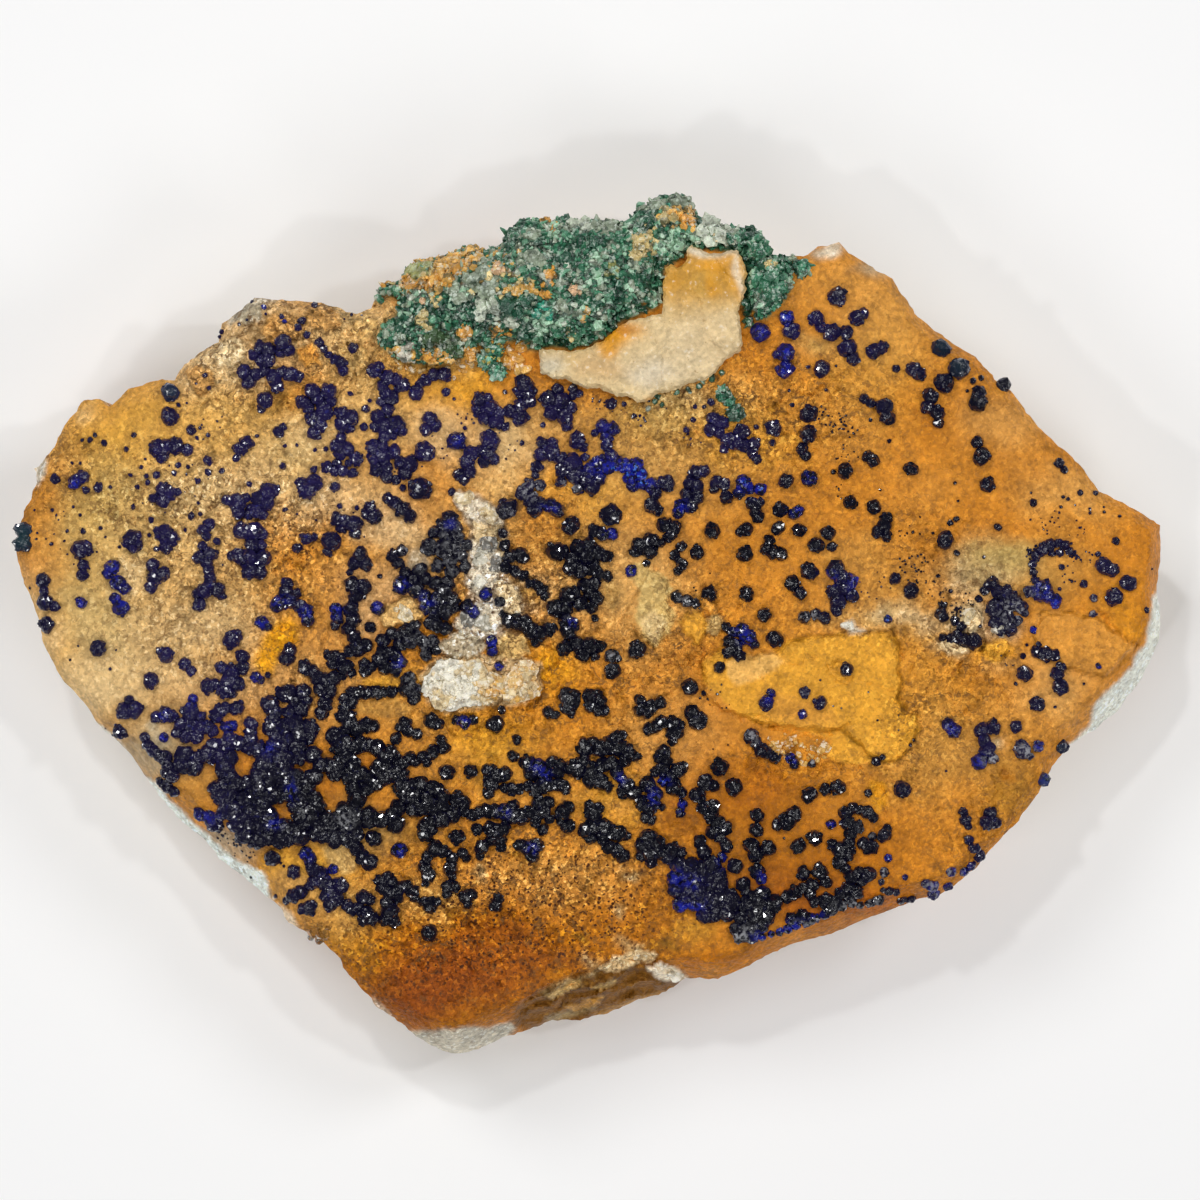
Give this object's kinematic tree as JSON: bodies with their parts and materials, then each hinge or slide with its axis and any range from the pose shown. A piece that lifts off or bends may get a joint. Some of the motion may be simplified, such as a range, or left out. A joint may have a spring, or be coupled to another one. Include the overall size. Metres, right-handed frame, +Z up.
{
  "type": "azurite mineral specimen",
  "caption": "Slab of iron-stained quartz with dark blue azurite spherules, a green malachite druse and a raised pale plate.",
  "frame": {"origin": "centre of the bounding box at its lowest plane, which is the flat underside", "axes": "+X along the slab's length, +Y towards the malachite edge, +Z up out of the crystal face"},
  "size_m": [0.1384, 0.1045, 0.0262],
  "materials": {
    "iron_stained_quartz": "rough, granular, iron stained",
    "azurite": "glossy dark blue crystals",
    "malachite": "sugary green crystals",
    "pale_quartz": "matt cream",
    "clear_quartz": "glassy pale crystal"
  },
  "bodies": {
    "root": {"host_rock": "iron_stained_quartz", "azurite_01": "azurite", "azurite_02": "azurite", "azurite_03": "azurite", "azurite_04": "azurite", "azurite_05": "azurite", "azurite_06": "azurite", "azurite_07": "azurite", "azurite_08": "azurite", "azurite_09": "azurite", "azurite_10": "azurite", "azurite_11": "azurite", "azurite_12": "azurite", "azurite_13": "azurite", "azurite_14": "azurite", "azurite_15": "azurite", "azurite_16": "azurite", "azurite_17": "azurite", "azurite_18": "azurite", "azurite_19": "azurite", "azurite_20": "azurite", "azurite_21": "azurite", "azurite_22": "azurite", "azurite_23": "azurite", "azurite_24": "azurite", "azurite_25": "azurite", "azurite_26": "azurite", "azurite_27": "azurite", "azurite_28": "azurite", "azurite_29": "azurite", "azurite_30": "azurite", "azurite_31": "azurite", "azurite_32": "azurite", "azurite_33": "azurite", "azurite_34": "azurite", "azurite_35": "azurite", "azurite_36": "azurite", "azurite_37": "azurite", "azurite_38": "azurite", "azurite_39": "azurite", "azurite_40": "azurite", "malachite_druse": "malachite", "malachite_spill": "malachite", "malachite_ball_east": "malachite", "malachite_ball_middle": "malachite", "malachite_ball_south": "malachite", "pale_plate": "pale_quartz", "quartz_patch": "pale_quartz", "clear_quartz": "clear_quartz"}
  },
  "joints": []
}
